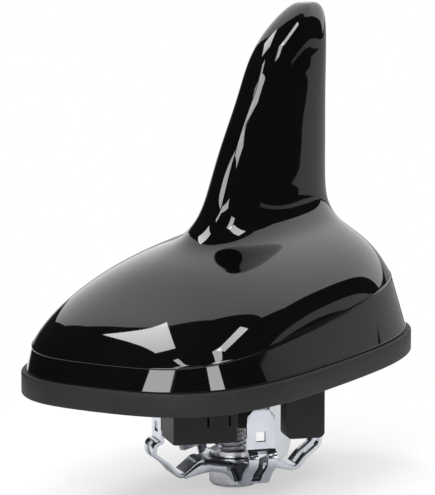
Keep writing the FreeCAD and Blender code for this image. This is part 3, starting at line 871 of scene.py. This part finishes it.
# Right and up, in metres
SWEEP_EDGE = ((-0.20, 0.02), (0.95, 0.10), (1.45, 0.7), (2.0, 1.3), (2.3, 2.3), (0.4, 2.5),
              (-0.45, 2.0), (-0.64, 1.75), (-0.72, 1.46), (-0.66, 0.9), (-0.50, 0.45))
FOOT_EDGE = ((-0.5, -0.12), (1.95, -0.12), (1.95, 0.06), (-0.5, 0.06))


def glow(name, strength):
    """A lit card that the camera looks through."""
    mat = bpy.data.materials.new(name)
    mat.use_nodes = True
    tree = mat.node_tree
    tree.nodes.remove(tree.nodes["Principled BSDF"])
    card = node(tree, "ShaderNodeEmission", Color=PLAIN_WHITE, Strength=strength)
    clear = node(tree, "ShaderNodeBsdfTransparent")
    path = node(tree, "ShaderNodeLightPath")
    lit = mixed(tree, path.outputs["Is Camera Ray"], card.outputs["Emission"],
                clear.outputs["BSDF"])
    tree.links.new(lit, tree.nodes["Material Output"].inputs["Surface"])
    return mat


stage_mesh("sweep", [studio_point(a, SWEEP_AWAY, c) for a, c in SWEEP_EDGE],
           glow("sweep_white", SWEEP_GLOW))
stage_mesh("sweep_foot", [studio_point(a, FOOT_AWAY, c) for a, c in FOOT_EDGE],
           glow("sweep_foot_grey", GREY_GLOW))
print("sweep", len(SWEEP_EDGE), "corners")

# %% [markdown]
# Softboxes
# Two softboxes overhead and one large one at the front left make the broad white
# shapes on the dome. An area light does this work, as it is mirrored as a plain
# rectangle. Its power grows with its area here, so that all are equally bright.

# %% Set up the softboxes
OVER_LIGHT, FRONT_LIGHT = 9.5, 9.0
LEFT_TILT = 0.22


def softbox(name, centre, across, along, width, length, radiance):
    """A rectangular light that faces the object, given by its two edge directions."""
    x = across.normalized()
    z = x.cross(along.normalized()).normalized()
    if z.dot(centre) < 0:
        x = -x
        z = -z
    y = z.cross(x)
    data = bpy.data.lights.new(name, "AREA")
    data.shape = "RECTANGLE"
    data.size = width
    data.size_y = length
    data.energy = radiance * math.pi * width * length
    obj = bpy.data.objects.new(name, data)
    facing = Matrix((x, y, z)).transposed().to_4x4()
    obj.matrix_world = Matrix.Translation(centre) @ facing
    scene.collection.objects.link(obj)


softbox("over_left", studio_point(-0.29, 0.24, 1.0), RIGHT + AWAY * LEFT_TILT,
        AWAY - RIGHT * LEFT_TILT, 0.27, 0.52, OVER_LIGHT)
softbox("over_right", studio_point(0.79, 0.03, 1.0), RIGHT, AWAY, 0.28, 0.42, OVER_LIGHT)
softbox("front_left", studio_point(-0.5, -1.2, 0.98), RIGHT, UP, 1.0, 1.35, FRONT_LIGHT)
print("softboxes", len(bpy.data.lights))

# %% [markdown]
# Panes
# Narrow strips of light stand at the right and over the nose. They make the
# stepped bands at the near corner and the line down the nose. Each is given by
# the two directions where it begins and ends, as the object sees them.

# %% Set up the panes of light
STUDIO_R = 1.4
# Azimuth and elevation of both ends in degrees, and the width in metres
PANES = {
    "front_right_low": ((74.5, 11.0), (90.0, 12.5), 0.16),
    "front_right_high": ((97.0, 39.0), (107.0, 58.0), 0.17),
    "nose_low": ((70.0, 38.0), (40.0, 53.0), 0.15),
    "nose_high": ((40.0, 53.0), (16.0, 70.0), 0.13),
}


def seen_at(azimuth, elevation):
    """A place that the object sees at an azimuth from the front and an elevation."""
    a, e = math.radians(azimuth), math.radians(elevation)
    return Vector((math.cos(e) * math.sin(a), -math.cos(e) * math.cos(a), math.sin(e))) * STUDIO_R


for name, (begin, end, width) in PANES.items():
    one, two = seen_at(*begin), seen_at(*end)
    centre, along = (one + two) / 2, two - one
    softbox(name, centre, along.cross(centre), along, width, along.length, FRONT_LIGHT)
print("panes", len(PANES))

# %% [markdown]
# Grey walls
# The rear of the fin and the right flank mirror something dim and grey beside the
# set. Two cards stand in for it. Their corners are directions from the object, as
# with the panes, so each lies where the photograph shows its reflection.

# %% Stand the walls at the side and the rear
# Azimuth and elevation of each corner in degrees
WALLS = {
    "side_wall": ((126, 13), (138, 12.4), (146, 10.9), (152, 7.9), (158, 4.9), (166, 2.9),
                  (166, 2.0), (156, 2.6), (150, 4.5), (146, 7), (140, 9), (126, 10.5)),
    "rear_wall": ((145, 0), (150, 0.2), (156, 0.4), (159, 2.4), (166, 2.4), (176, 1.8),
                  (176, -8), (153, -8), (153, -5), (151, -3), (148, -1.5)),
}
for name, corners in WALLS.items():
    stage_mesh(name, [seen_at(*corner) for corner in corners], glow(name + "_grey", GREY_GLOW))
print("walls", *WALLS)

# %% [markdown]
# Room
# The room itself is nearly dark, since every light part of it would show on the
# gloss. The camera sees plain white instead, which is the photograph's paper.

# %% Set the world
ROOM_GLOW = 0.03

world = bpy.data.worlds.new("studio")
scene.world = world
world.use_nodes = True
tree = world.node_tree
dark = tree.nodes["Background"]
dark.inputs["Color"].default_value = PLAIN_WHITE
dark.inputs["Strength"].default_value = ROOM_GLOW
paper = node(tree, "ShaderNodeBackground", Color=PLAIN_WHITE, Strength=1.0)
path = node(tree, "ShaderNodeLightPath")
backdrop = mixed(tree, path.outputs["Is Camera Ray"], dark.outputs["Background"],
                 paper.outputs["Background"])
tree.links.new(backdrop, tree.nodes["World Output"].inputs["Surface"])
print("room glow", ROOM_GLOW)
